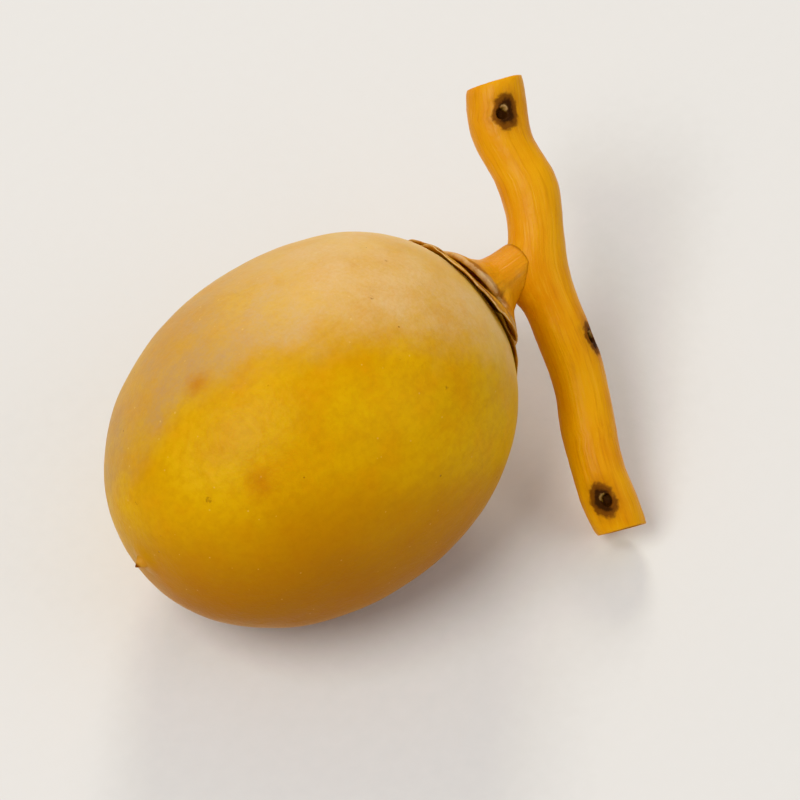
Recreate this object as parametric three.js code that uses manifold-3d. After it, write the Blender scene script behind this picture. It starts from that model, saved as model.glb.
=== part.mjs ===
// A fresh date at its yellow stage, picked with the short piece of strand that it grew on.
// The fruit lies on its side: X runs along it from its tip to its cap, Z is up, and the origin
// is the middle of the small spot that it rests on. Lengths are in millimetres.
import * as THREE from "three";
import { mergeVertices } from "three/addons/utils/BufferGeometryUtils.js";
import Module from "manifold-3d";

const wasm = await Module();
wasm.setup();

// Fruit: the egg-like body, from its tip to the end under the cap.
const FRUIT_LENGTH = 35;
const FRUIT_WIDTH = 28.2;
const FULLNESS = 2.06; // 2 is a plain ellipsoid, and more has fuller shoulders
const TAPER = 0.035; // how much wider the cap's half is than the tip's half
const BASE_DIMPLE = { depth: 0.3, radius: 3.4 };
const TIP_DIMPLE = { depth: 0.4, radius: 3 };
const TIP_POINT = { height: 1.05, radius: 0.8 }; // the dry end of the flower

// The fruit rests on a small flat spot of its belly. The spot has three sides, past which the
// skin rises gently, so that the weight stands on three corners.
const REST_SPOT = { depth: 0.68, reach: 2, sides: 3, rise: THREE.MathUtils.degToRad(3), middle: 1 };

// Slow swells round the fruit: turns per circle, height as a share of the radius, start angle.
const SWELLS = [
  { turns: 2, height: 0.013, start: 0.9 },
  { turns: 3, height: 0.008, start: 2.2 },
];

// Places where other dates pressed while it grew, as angles from the cap and round the fruit.
const PRESSED = [
  { fromCap: 1.2, round: 2.3, depth: 0.5, spread: 0.45 },
  { fromCap: 2.05, round: 4.75, depth: 0.45, spread: 0.4 },
  { fromCap: 1.85, round: 1.2, depth: 0.4, spread: 0.36 },
];

// A shallow crease runs along the far side.
const CREASE = { round: 1.75, depth: 0.35, width: 0.16, middle: 0.1, reach: 0.5 };

// Cap: three broad petals that lap each other, under a small calyx with three lobes.
const CLEARANCE = 0.32; // between neighbouring pieces
const LOBES = 3;
const PETAL = { radius: 7.1, thickness: 0.62, notch: 0.2, roundness: 2.5, start: 0.3 };
const PETAL_LAP = 0.45; // how much higher a petal's last side lies than its first side
const PETAL_CURL = 0.3; // how far a petal's rim lifts off the fruit
const CALYX = { radius: 4.5, thickness: 0.65, notch: 0.24, roundness: 1.6, start: 1.35 };
const CALYX_LIFT = 0.32; // clears the petals' laps
const NECK = { height: 0.85, radius: 2.1 };

// Strand: a piece of the stalk that bears the fruit, leaning until its low end meets the floor.
const STRAND = { below: 22, above: 15.5, thinRadius: 2.05, thickRadius: 2.35, trim: 0.3 };
const STRAND_LEAN = THREE.MathUtils.degToRad(29); // above the horizontal
const STRAND_TURN = THREE.MathUtils.degToRad(65); // from X, seen from above
const KNOB = { height: 1.1, width: 2 }; // the swelling that bears the cap

// The strand's small bends, as distance along it, shift towards the fruit, and shift sideways.
const STRAND_BENDS = [
  [-22, -0.45, 0.2],
  [-16, 0.4, -0.35],
  [-9, -0.4, 0.3],
  [-1, 0.35, 0],
  [6, -0.4, -0.35],
  [11, 0.35, 0.3],
  [15.5, -0.2, 0],
];
const CAP_BEND = 3; // which of the bends bears the cap

// Scars of flowers that set no fruit climb the strand in a spiral, each on a slight swelling.
const SCAR = { lowest: -3, highest: 2, step: 6.3, depth: 0.5, length: 1, width: 0.85 };
const SCAR_TURN = THREE.MathUtils.degToRad(137.5);
const SCAR_SWELLING = { height: 0.3, width: 1.9 };

const HALF_LENGTH = FRUIT_LENGTH / 2;
const HALF_WIDTH = FRUIT_WIDTH / 2;
const FULL_TURN = 2 * Math.PI;

const bell = (distance, width) => Math.exp(-((distance / width) ** 2));

// The unit direction at an angle from the cap's end of the fruit, and an angle round it.
const directionAt = (fromCap, round) => new THREE.Vector3().setFromSphericalCoords(1, fromCap, round);

// The shortest way round the circle from one angle to another.
const turnBetween = (a, b) => Math.atan2(Math.sin(a - b), Math.cos(a - b));

function pressedDepth(direction) {
  return PRESSED.reduce((depth, mark) => {
    const angle = direction.angleTo(directionAt(mark.fromCap, mark.round));
    return depth + mark.depth * bell(angle, mark.spread);
  }, 0);
}

// A point on the fruit before its resting spot is made. In the fruit's own frame, Y runs from
// tip to cap, and the angle round starts at Z.
function fruitPoint(fromCap, round) {
  const direction = directionAt(fromCap, round);
  const wide = Math.abs(Math.sin(fromCap) / HALF_WIDTH) ** FULLNESS;
  const long = Math.abs(Math.cos(fromCap) / HALF_LENGTH) ** FULLNESS;
  const reach = (wide + long) ** (-1 / FULLNESS) - pressedDepth(direction);
  const point = direction.multiplyScalar(reach);
  const share = point.y / HALF_LENGTH;
  const fade = 1 - share * share;
  const swell = SWELLS.reduce((sum, s) => sum + s.height * Math.cos(s.turns * round + s.start), 0);
  const creaseFade = bell(share - CREASE.middle, CREASE.reach) * fade;
  const crease = CREASE.depth * bell(turnBetween(round, CREASE.round), CREASE.width) * creaseFade;
  const radius = Math.hypot(point.x, point.z);
  const scale = 1 + TAPER * share + swell * fade - crease / HALF_WIDTH;
  const dimple = share > 0 ? BASE_DIMPLE : TIP_DIMPLE;
  let along = point.y - dimple.depth * bell(radius, dimple.radius) * Math.sign(share);
  if (share < 0) along -= TIP_POINT.height * bell(radius, TIP_POINT.radius);
  return new THREE.Vector3(point.x * scale, along, point.z * scale);
}

// A point at some height over the fruit, near its cap.
function overFruit(fromCap, round, height) {
  const step = 0.01;
  const slope = fruitPoint(fromCap + step, round).sub(fruitPoint(fromCap - step, round));
  const outward = directionAt(Math.PI / 2, round);
  const normal = outward.clone().multiplyScalar(-slope.y);
  normal.y = slope.dot(outward);
  return fruitPoint(fromCap, round).addScaledVector(normal.normalize(), height);
}

// A closed surface of rows round an axis. The first and the last row are single points.
function closedSkin(rows, columns, pointAt) {
  const positions = [];
  for (let row = 1; row < rows; row += 1) {
    for (let column = 0; column < columns; column += 1) {
      positions.push(...pointAt(row, (column / columns) * FULL_TURN));
    }
  }
  const first = positions.length / 3;
  positions.push(...pointAt(0, 0), ...pointAt(rows, 0));
  const index = [];
  for (let column = 0; column < columns; column += 1) {
    const next = (column + 1) % columns;
    index.push(first, column, next);
    for (let row = 0; row < rows - 2; row += 1) {
      const [here, below] = [row * columns, (row + 1) * columns];
      index.push(here + column, below + column, here + next);
      index.push(here + next, below + column, below + next);
    }
    const end = (rows - 2) * columns;
    index.push(end + column, first + 1, end + next);
  }
  const geometry = new THREE.BufferGeometry();
  geometry.setAttribute("position", new THREE.Float32BufferAttribute(positions, 3));
  geometry.setIndex(index);
  geometry.computeVertexNormals();
  return geometry;
}

function madeOf(name, geometry, color, roughness) {
  const material = new THREE.MeshStandardMaterial({ color, roughness, metalness: 0 });
  const mesh = new THREE.Mesh(geometry, material);
  mesh.name = name;
  return mesh;
}

// The belly is on the Z side of the fruit's own frame, and is cut flat at this distance.
const AXIS_HEIGHT = fruitPoint(Math.PI / 2, 0).z - REST_SPOT.depth;

// Cuts away what lies in front of a plane through a point.
function cutByPlane(solid, facing, point) {
  const kept = facing.clone().negate();
  return solid.trimByPlane(kept.toArray(), kept.dot(point));
}

// The resting spot, and the gentle slopes on its sides.
function restingOn(geometry) {
  geometry.deleteAttribute("normal");
  const merged = mergeVertices(geometry);
  let solid = new wasm.Manifold(new wasm.Mesh({
    numProp: 3,
    vertProperties: merged.attributes.position.array,
    triVerts: new Uint32Array(merged.index.array),
  }));
  const middle = new THREE.Vector3(0, REST_SPOT.middle, AXIS_HEIGHT);
  solid = cutByPlane(solid, new THREE.Vector3(0, 0, 1), middle);
  for (let side = 0; side < REST_SPOT.sides; side += 1) {
    const turn = ((side + 0.5) / REST_SPOT.sides) * FULL_TURN;
    const out = new THREE.Vector3(Math.sin(turn), Math.cos(turn), 0);
    const facing = new THREE.Vector3(0, 0, Math.cos(REST_SPOT.rise));
    facing.addScaledVector(out, Math.sin(REST_SPOT.rise));
    solid = cutByPlane(solid, facing, middle.clone().addScaledVector(out, REST_SPOT.reach));
  }
  const { vertProperties, triVerts } = solid.getMesh();
  const rested = new THREE.BufferGeometry();
  rested.setAttribute("position", new THREE.Float32BufferAttribute(vertProperties, 3));
  rested.setIndex([...triVerts]);
  rested.computeVertexNormals();
  return rested;
}

// The rows lie closer together near both ends, where the skin turns most.
function fruit() {
  const [rows, columns] = [36, 50];
  const closeness = 0.65;
  const geometry = closedSkin(rows, columns, (row, round) => {
    const turn = (row / rows) * FULL_TURN;
    return fruitPoint((turn - closeness * Math.sin(turn)) / 2, round);
  });
  return madeOf("fruit", restingOn(geometry), 0xd8941a, 0.45);
}

// Where an angle lies across its lobe: -1 at the lobe's first side, 1 at its last.
function acrossLobe(round, start) {
  const width = FULL_TURN / LOBES;
  const along = (((round - start) % width) + width) % width;
  return (2 * along) / width - 1;
}

// How far a lobed piece of the cap reaches from the fruit's end, as an angle.
function lobedEdge(round, { radius, notch, roundness, start }) {
  const inset = notch * Math.abs(acrossLobe(round, start)) ** roundness;
  return Math.asin(radius / HALF_LENGTH) * (1 - inset);
}

// A shell over the fruit's end: rows go out along its outer face, and back along its inner one.
function capShell({ rowsOut, rowsBack, columns, edge, inner, outer }) {
  const rows = rowsOut + rowsBack;
  return closedSkin(rows, columns, (row, round) => {
    const onOuter = row < rowsOut;
    const share = onOuter ? row / (rowsOut - 1) : (rows - row) / rowsBack;
    const fromCap = share * edge(round);
    const height = onOuter ? outer(fromCap, share, round) : inner(fromCap, share, round);
    return overFruit(fromCap, round, height);
  });
}

function petals() {
  const lift = (fromCap, share, round) => {
    const lap = PETAL_LAP * ((acrossLobe(round, PETAL.start) + 1) / 2);
    return CLEARANCE + lap * share + PETAL_CURL * share ** 6;
  };
  const geometry = capShell({
    rowsOut: 7,
    rowsBack: 5,
    columns: 54,
    edge: (round) => lobedEdge(round, PETAL),
    inner: lift,
    outer: (fromCap, share, round) => lift(fromCap, share, round) + PETAL.thickness,
  });
  return madeOf("petals", geometry, 0xc98f2e, 0.65);
}

const CALYX_SEAT = 2 * CLEARANCE + PETAL.thickness + CALYX_LIFT;

function calyx() {
  const geometry = capShell({
    rowsOut: 9,
    rowsBack: 3,
    columns: 36,
    edge: (round) => lobedEdge(round, CALYX),
    inner: () => CALYX_SEAT,
    outer: (fromCap) => {
      const radius = fromCap * HALF_LENGTH;
      return CALYX_SEAT + CALYX.thickness + NECK.height * Math.exp(-((radius / NECK.radius) ** 3));
    },
  });
  return madeOf("calyx", geometry, 0xd9962a, 0.6);
}

// The strand's own directions: along it, towards the fruit, and sideways.
const ALONG = new THREE.Vector3(
  Math.cos(STRAND_TURN) * Math.cos(STRAND_LEAN),
  Math.sin(STRAND_TURN) * Math.cos(STRAND_LEAN),
  Math.sin(STRAND_LEAN),
);
const TO_FRUIT = new THREE.Vector3(-1, 0, 0).addScaledVector(ALONG, ALONG.x).normalize();
const SIDEWAYS = new THREE.Vector3().crossVectors(TO_FRUIT, ALONG);

const scars = [];
for (let number = SCAR.lowest; number <= SCAR.highest; number += 1) {
  if (number !== 0) scars.push({ at: number * SCAR.step, round: number * SCAR_TURN });
}

// How thick the strand is at a distance along it and an angle round from the fruit's side.
function strandRadius(at, round) {
  const share = (at + STRAND.below) / (STRAND.below + STRAND.above);
  let radius = THREE.MathUtils.lerp(STRAND.thinRadius, STRAND.thickRadius, share);
  radius += KNOB.height * bell(at, KNOB.width) * Math.max(0, Math.cos(round)) ** 2;
  for (const scar of scars) {
    const turn = turnBetween(round, scar.round);
    const facing = (1 + Math.cos(turn)) / 2;
    const pitLength = bell(at - scar.at, SCAR.length);
    const pitWidth = bell(turn * STRAND.thinRadius, SCAR.width);
    radius += SCAR_SWELLING.height * bell(at - scar.at, SCAR_SWELLING.width) * facing;
    radius -= SCAR.depth * pitLength * pitWidth;
  }
  return radius;
}

function strand() {
  const [rings, columns] = [64, 22];
  const capTop = HALF_LENGTH - BASE_DIMPLE.depth + CALYX_SEAT + CALYX.thickness + NECK.height;
  const node = new THREE.Vector3(capTop + CLEARANCE, 0, AXIS_HEIGHT);
  const [, nearAtNode] = STRAND_BENDS[CAP_BEND];
  node.addScaledVector(TO_FRUIT, -strandRadius(0, 0) - nearAtNode);
  const bends = STRAND_BENDS.map(([at, near, side]) => node.clone()
    .addScaledVector(ALONG, at)
    .addScaledVector(TO_FRUIT, near)
    .addScaledVector(SIDEWAYS, side));
  const line = new THREE.CatmullRomCurve3(bends, false, "catmullrom", 0.5);
  const geometry = closedSkin(rings + 2, columns, (row, round) => {
    const share = THREE.MathUtils.clamp((row - 1) / rings, 0, 1);
    const centre = line.getPointAt(share);
    if (row === 0 || row === rings + 2) return centre;
    const at = centre.clone().sub(node).dot(ALONG);
    const trim = row === 1 || row === rings + 1 ? STRAND.trim : 0;
    const radius = strandRadius(at, round) - trim;
    return centre
      .addScaledVector(TO_FRUIT, radius * Math.cos(round))
      .addScaledVector(SIDEWAYS, radius * Math.sin(round));
  });
  return madeOf("strand", geometry, 0xd98a1e, 0.55);
}

// The fruit's frame turns onto its side: Y becomes X, and Z, where the belly is, points down.
const lying = new THREE.Group();
lying.add(fruit(), petals(), calyx());
lying.quaternion.setFromRotationMatrix(
  new THREE.Matrix4().makeBasis(
    new THREE.Vector3(0, 1, 0),
    new THREE.Vector3(1, 0, 0),
    new THREE.Vector3(0, 0, -1),
  ),
);
lying.position.z = AXIS_HEIGHT;

const date = new THREE.Group();
date.name = "fresh_date";
date.add(lying, strand());

export default date;
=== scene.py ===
# %% [markdown]
# # A fresh date on its piece of strand
#
# This lesson dresses a solid model of a round yellow date. The solid model gives every piece its
# place and size. Each piece is modelled again here with a finer surface, and gets a material of
# nodes. X runs from the tip of the fruit to its cap, and Z is up. Blender's units are metres, and
# the floor, the lights and the camera are placed in them. A length of the date that is written
# without MM is in millimetres, and is multiplied by MM where it is used.

# %% Load the solid model
import math

import bpy
import numpy as np
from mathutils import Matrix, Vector, noise


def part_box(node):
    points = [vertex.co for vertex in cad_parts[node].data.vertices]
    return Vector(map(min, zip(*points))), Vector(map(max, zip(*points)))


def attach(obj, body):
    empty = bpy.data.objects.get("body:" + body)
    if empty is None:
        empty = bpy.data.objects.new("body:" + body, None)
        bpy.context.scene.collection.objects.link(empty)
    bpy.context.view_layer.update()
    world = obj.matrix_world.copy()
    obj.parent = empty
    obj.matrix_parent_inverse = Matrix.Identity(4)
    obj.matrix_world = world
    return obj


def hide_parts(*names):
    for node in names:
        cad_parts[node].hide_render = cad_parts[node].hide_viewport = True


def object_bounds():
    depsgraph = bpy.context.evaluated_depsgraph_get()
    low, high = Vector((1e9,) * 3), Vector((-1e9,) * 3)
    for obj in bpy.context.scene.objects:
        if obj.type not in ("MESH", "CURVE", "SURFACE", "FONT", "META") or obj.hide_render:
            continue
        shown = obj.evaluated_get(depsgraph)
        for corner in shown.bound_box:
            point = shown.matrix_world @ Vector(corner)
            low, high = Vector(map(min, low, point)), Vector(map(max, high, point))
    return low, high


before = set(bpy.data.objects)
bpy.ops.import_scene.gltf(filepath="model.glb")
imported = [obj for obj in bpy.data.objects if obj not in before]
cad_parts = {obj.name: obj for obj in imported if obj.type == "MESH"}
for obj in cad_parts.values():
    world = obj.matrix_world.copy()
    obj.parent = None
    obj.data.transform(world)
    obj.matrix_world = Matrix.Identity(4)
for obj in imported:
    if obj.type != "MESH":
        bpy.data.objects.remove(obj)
cad_low, cad_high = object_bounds()
MM = 0.001
SAME_PLACE = 0.001 * MM


def in_mm(lengths):
    return [round(length / MM, 1) for length in lengths]


print("the solid model measures", in_mm(cad_high - cad_low), "mm")

# %% [markdown]
# Operators work on what is selected, and loading leaves the solids selected. So each step starts
# by leaving edit mode and selecting one piece, or only some of its vertices. Modifiers are applied
# at once, so that what the next step sees is a plain mesh.

# %% Helpers for selecting


def deselect_all():
    if bpy.context.object and bpy.context.object.mode != "OBJECT":
        bpy.ops.object.mode_set(mode="OBJECT")
    bpy.ops.object.select_all(action="DESELECT")


def pick(piece):
    deselect_all()
    piece.select_set(True)
    bpy.context.view_layer.objects.active = piece


def edit(piece, wanted=None):
    """Opens a piece in edit mode, with all vertices selected, or those whose place is wanted."""
    pick(piece)
    bpy.ops.object.mode_set(mode="EDIT")
    bpy.ops.mesh.select_mode(type="VERT")
    bpy.ops.mesh.select_all(action="DESELECT" if wanted else "SELECT")
    if wanted:
        bpy.ops.object.mode_set(mode="OBJECT")
        for vertex in piece.data.vertices:
            vertex.select = wanted(vertex.co)
        bpy.ops.object.mode_set(mode="EDIT")


def places_of(piece):
    return [vertex.co for vertex in piece.data.vertices]


print("the helpers for selecting are ready")

# %% Helpers for modifiers and smoothing


def apply_modifier(piece, kind, **settings):
    pick(piece)
    modifier = piece.modifiers.new(kind.title(), kind)
    for name, value in settings.items():
        setattr(modifier, name, value)
    bpy.ops.object.modifier_apply(modifier=modifier.name)


def subdivide_smoothly(piece, levels):
    apply_modifier(piece, "SUBSURF", levels=levels, render_levels=levels)


def finish_surface(piece):
    pick(piece)
    bpy.ops.object.shade_smooth()
    print(piece.name, "has", len(piece.data.polygons), "faces")


print("the helpers for modifiers are ready")

# %% [markdown]
# ## The fruit
#
# A date is egg-like, and its skin shows every unevenness in its highlights. A UV sphere would
# pinch at its poles, so we start from a cube: it is subdivided, pushed out to a sphere and
# stretched to the size of the solid. A Shrinkwrap modifier then lays it on the solid, and a
# Subdivision Surface turns the few faces into a smooth skin.

# %% Rough out the fruit
TIP_POINT_LENGTH = 0.65 * MM
CUBE_CUTS = 12
FRUIT_LEVELS = 3
solid_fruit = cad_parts["fruit"]
fruit_low, fruit_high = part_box("fruit")
fruit_low.x += TIP_POINT_LENGTH
fruit_middle = (fruit_low + fruit_high) / 2
fruit_half = (fruit_high - fruit_low) / 2

deselect_all()
bpy.ops.mesh.primitive_cube_add(size=2)
fruit = bpy.context.object
fruit.name = "date_fruit"
bpy.ops.object.mode_set(mode="EDIT")
bpy.ops.mesh.subdivide(number_cuts=CUBE_CUTS)
bpy.ops.transform.tosphere(value=1)
bpy.ops.object.mode_set(mode="OBJECT")
ball_radius = max(place.length for place in places_of(fruit))
edit(fruit)
bpy.ops.transform.resize(value=fruit_half / ball_radius)
bpy.ops.transform.translate(value=fruit_middle)
apply_modifier(fruit, "SHRINKWRAP", target=solid_fruit)
subdivide_smoothly(fruit, FRUIT_LEVELS)
print("the fruit spans", in_mm(fruit.dimensions), "mm")

# %% [markdown]
# The skin of a real date isn't a perfect surface. Two Displace modifiers with cloud textures
# raise and sink it a little: wide, slow swells, and finer ripples that break up the highlight.
# Where it touches the table, it is pressed level by its own weight.

# %% Uneven the skin


def uneven(piece, swells):
    """Raises and sinks a surface by clouds, each with a size and a height in millimetres."""
    for size, height in swells:
        texture = bpy.data.textures.new(piece.name + "_clouds", "CLOUDS")
        texture.noise_scale = size * MM
        texture.noise_depth = 2
        apply_modifier(piece, "DISPLACE", texture=texture, strength=height * MM, mid_level=0.5)


uneven(fruit, [(9, 0.28), (2.6, 0.05)])
sunk = [vertex for vertex in fruit.data.vertices if vertex.co.z < 0]
for vertex in sunk:
    vertex.co.z = 0
print("levelled", len(sunk), "vertices on the table")

# %% [markdown]
# The dry end of the flower stays on the tip as a small point. The faces there are subdivided, so
# that there is enough to pull on. One vertex is then pulled out three times, and proportional
# editing takes its neighbours along: far ones for the foot, near ones for the knob and its point.
# Each pull below has its length, how far it reaches, both in millimetres, and its falloff.

# %% Pull out the tip's point


def nearest_vertex(piece, place):
    return min(places_of(piece), key=lambda other: (other - place).length).copy()


def pull(piece, place, move, size, falloff):
    """Moves the vertex nearest to a place, and its neighbours less, the further they are."""
    nearest = nearest_vertex(piece, place)
    edit(piece, lambda other: (other - nearest).length < SAME_PLACE)
    bpy.ops.transform.translate(
        value=move,
        use_proportional_edit=True,
        proportional_edit_falloff=falloff,
        proportional_size=size * MM,
    )
    bpy.ops.object.mode_set(mode="OBJECT")


TIP_PULLS = [(0.3, 1.8, "SMOOTH"), (0.4, 0.55, "SPHERE"), (0.25, 0.28, "SMOOTH")]
TIP_DETAIL_REACH = 2 * MM
tip = min(places_of(solid_fruit), key=lambda place: place.x).copy()
edit(fruit, lambda place: (place - tip).length < TIP_DETAIL_REACH)
bpy.ops.mesh.subdivide(number_cuts=2)
for pull_length, reach, falloff in TIP_PULLS:
    pull(fruit, tip, Vector((-pull_length * MM, 0, 0)), reach, falloff)
print("the tip reaches x, y, z =", in_mm(nearest_vertex(fruit, tip)), "mm")
finish_surface(fruit)

# %% [markdown]
# ## The cap
#
# Three broad petals lap over each other on the fruit's end, and a small calyx with three lobes
# sits on them. All are fans round the fruit's axis. So one helper spins a section round that axis:
# it merges a plane into one vertex, extrudes that along the section, and spins the line of edges.
# The fans are then draped over the fruit, as cloth would be.

# %% Find the cap's axis
TOP_FACE_SLACK = 0.02 * MM
solid_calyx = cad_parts["calyx"]
_, calyx_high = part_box("calyx")
top_x = calyx_high.x - TOP_FACE_SLACK
neck_top = [place for place in places_of(solid_calyx) if place.x > top_x]
cap_middle = sum(neck_top, Vector()) / len(neck_top)
cap_middle.x = fruit_high.x
print("the cap's middle is at", in_mm(cap_middle), "mm")

# %% Helpers for places round that axis


def middle_of(piece):
    return sum(places_of(piece), Vector()) / len(piece.data.vertices)


def radial(angle):
    """The direction away from the cap's axis at an angle round it."""
    return Vector((0, math.cos(angle), math.sin(angle)))


def polar(place):
    """How far a place is from the cap's axis, and its angle round that axis."""
    y, z = place.y - cap_middle.y, place.z - cap_middle.z
    return math.hypot(y, z), math.atan2(z, y)


def turn_between(first, second):
    return (first - second + math.pi) % math.tau - math.pi


print("the tip lies", round(polar(tip)[0] / MM, 1), "mm off the cap's axis")

# %% Helpers for the cap's fans
HUB_SLACK = 0.01


def fan(name, section, middle, spread, steps):
    """Spins a section, pairs of distance from the axis and height, over a spread of angles."""
    out = radial(middle - spread / 2)
    places = [cap_middle + out * (r * MM) + Vector((h * MM, 0, 0)) for r, h in section]
    deselect_all()
    bpy.ops.mesh.primitive_plane_add(size=MM, location=places[0])
    piece = bpy.context.object
    piece.name = name
    bpy.ops.object.transform_apply(location=True, rotation=True, scale=True)
    bpy.ops.object.mode_set(mode="EDIT")
    bpy.ops.mesh.select_mode(type="VERT")
    bpy.ops.mesh.select_all(action="SELECT")
    bpy.ops.mesh.merge(type="CENTER")
    for here, there in zip(places, places[1:]):
        bpy.ops.mesh.extrude_vertices_move(TRANSFORM_OT_translate={"value": there - here})
    bpy.ops.mesh.select_all(action="SELECT")
    bpy.ops.mesh.spin(steps=steps, angle=spread, center=cap_middle, axis=(1, 0, 0))
    bpy.ops.mesh.select_all(action="SELECT")
    bpy.ops.mesh.remove_doubles(threshold=SAME_PLACE)
    bpy.ops.object.mode_set(mode="OBJECT")
    return piece


def draw_in(piece, angle, slack, hub, scale):
    """Draws the edge in at an angle, towards a hub at some distance from the axis."""
    def wanted(place):
        distance, round_axis = polar(place)
        return distance > (hub + HUB_SLACK) * MM and abs(turn_between(round_axis, angle)) < slack

    edit(piece, wanted)
    centre = cap_middle + radial(angle) * (hub * MM)
    bpy.ops.transform.resize(value=(1, scale, scale), center_override=centre)
    bpy.ops.object.mode_set(mode="OBJECT")


print("the helpers for the fans are ready")

# %% [markdown]
# ### The petals
#
# On the fruit a petal is a broad round lobe, thin and leathery, with a dry edge that curls up.
# Each covers more than a third of the circle, so that its last side lies over the next petal's
# first side. One petal is made flat, its sides are drawn in column by column, and it is copied
# twice and turned. Only then is each draped, because the fruit isn't the same all round.

# %% Model one flat petal
PETALS = 3
PETAL_HUB = 0.6
PETAL_RADIUS = 7.1
PETAL_SPREAD = math.radians(158)
PETAL_ROWS = 10
PETAL_COLUMNS = 32
PETAL_NOTCH = 0.36
PETAL_ROUNDNESS = 3.2
PETAL_START = math.radians(17)


def petal_outline(across):
    """How far a petal reaches at a place across it, from -1 to 1, as a share of its radius."""
    return 1 - PETAL_NOTCH * abs(across) ** PETAL_ROUNDNESS


row_length = (PETAL_RADIUS - PETAL_HUB) / PETAL_ROWS
section = [(PETAL_HUB + row * row_length, 0) for row in range(PETAL_ROWS + 1)]
first_petal = fan("petal_1", section, PETAL_START, PETAL_SPREAD, PETAL_COLUMNS)
_, petal_middle = polar(middle_of(first_petal))
for column in range(PETAL_COLUMNS + 1):
    across = 2 * column / PETAL_COLUMNS - 1
    angle = petal_middle + across * PETAL_SPREAD / 2
    draw_in(first_petal, angle, PETAL_SPREAD / PETAL_COLUMNS / 3, 0, petal_outline(across))
print("one petal is", round(math.degrees(PETAL_SPREAD)), "degrees wide")

# %% Copy it twice and turn the copies
petals = [first_petal]
for number in range(1, PETALS):
    pick(first_petal)
    bpy.ops.object.duplicate()
    copy = bpy.context.object
    copy.name = f"petal_{number + 1}"
    edit(copy)
    turn = number * math.tau / PETALS
    bpy.ops.transform.rotate(value=turn, orient_axis="X", center_override=cap_middle)
    bpy.ops.object.mode_set(mode="OBJECT")
    petals.append(copy)
print("the cap has", len(petals), "petals")

# %% [markdown]
# The drape lays each petal's first half flat on the skin, lets its second half climb on to the next
# petal, curls its rim and gives it some waves of its own. Two attributes are written while the
# petal is still simple: how far each vertex is on the way to the rim, and a flat place on the
# petal. The material later uses them for the dry edge and the fibres, and they stay with the
# surface through every modifier.

# %% Helpers for draping


def eased(share):
    """A share between 0 and 1 that starts and stops gently."""
    share = min(1, max(0, share))
    return share * share * (3 - 2 * share)


def write_attribute(piece, name, kind, values):
    attribute = piece.data.attributes.new(name, kind, "POINT")
    field = "vector" if kind == "FLOAT_VECTOR" else "value"
    attribute.data.foreach_set(field, np.array(values, dtype=np.float32).ravel())


def drape(piece, lift):
    """Lays a flat fan on the fruit, each vertex at its own height over the skin plus a lift."""
    above = fruit_high.x + 5 * MM
    for vertex in piece.data.vertices:
        distance, angle = polar(vertex.co)
        start = Vector((above, vertex.co.y, vertex.co.z))
        _, skin, normal, _ = fruit.ray_cast(start, Vector((-1, 0, 0)))
        height = vertex.co.x - cap_middle.x
        vertex.co = skin + normal * (height + lift(distance, angle, skin) * MM)


print("the helpers for draping are ready")

# %% Drape the petals on the fruit
PETAL_GAP = 0.03
PETAL_LAP = 0.46
LAP_CLIMB = 0.5
LAP_FROM_HUB = 1.6
PETAL_CURL = 0.16
CURL_WAVE = 0.8
PETAL_WAVE = 0.07
PETAL_WAVE_SIZE = 2.6
PETAL_HALF_WIDTH = 9
FIBRE_SHIFT = 20
WAVE_SHIFT = Vector((7, 0, 0))
RIM_SHARPNESS = 6
PETAL_THICKNESS = 0.36
RIM_THINNESS = 0.45
THINNING = 4


def petal_edge(across):
    return PETAL_RADIUS * MM * petal_outline(across)


def dress_petal(petal, number):
    _, centre = polar(middle_of(petal))
    rim, flat = [], []
    for vertex in petal.data.vertices:
        distance, angle = polar(vertex.co)
        across = turn_between(angle, centre) / (PETAL_SPREAD / 2)
        reach = distance / petal_edge(across)
        rim.append(max(reach, abs(across) ** RIM_SHARPNESS))
        flat.append((across * PETAL_HALF_WIDTH * MM, distance, number * FIBRE_SHIFT * MM))
    write_attribute(petal, "rim", "FLOAT", rim)
    write_attribute(petal, "flat", "FLOAT_VECTOR", flat)

    def lift(distance, angle, skin):
        across = turn_between(angle, centre) / (PETAL_SPREAD / 2)
        share = min(1, distance / petal_edge(across))
        lap = PETAL_LAP * eased(across / LAP_CLIMB) * min(1, share * LAP_FROM_HUB)
        wave = noise.noise(skin / (PETAL_WAVE_SIZE * MM) + WAVE_SHIFT * number)
        curl = PETAL_CURL * share ** RIM_SHARPNESS * (1 + CURL_WAVE * wave)
        return PETAL_GAP + lap + curl + PETAL_WAVE * wave * share

    drape(petal, lift)
    edges = petal.vertex_groups.new(name="thickness")
    for vertex, share in zip(petal.data.vertices, rim):
        weight = 1 - (1 - RIM_THINNESS) * min(1, share) ** THINNING
        edges.add([vertex.index], weight, "REPLACE")


for number, petal in enumerate(petals):
    dress_petal(petal, number)
print("draped the petals")

# %% [markdown]
# A dry rim is ragged: the rim's vertices are moved a little at random, with a seed for each petal.
# Solidify then gives the sheet its thickness, less towards the rim by a vertex group, and a
# Subdivision Surface rounds it. The faces of the sheet point outwards first.

# %% Give the petals their thickness
RAGGEDNESS = 0.13
FIRST_SEED = 3


def faces_point_out(piece):
    facing = sum(face.normal.x * face.area for face in piece.data.polygons)
    if facing < 0:
        edit(piece)
        bpy.ops.mesh.flip_normals()
        bpy.ops.object.mode_set(mode="OBJECT")


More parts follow.
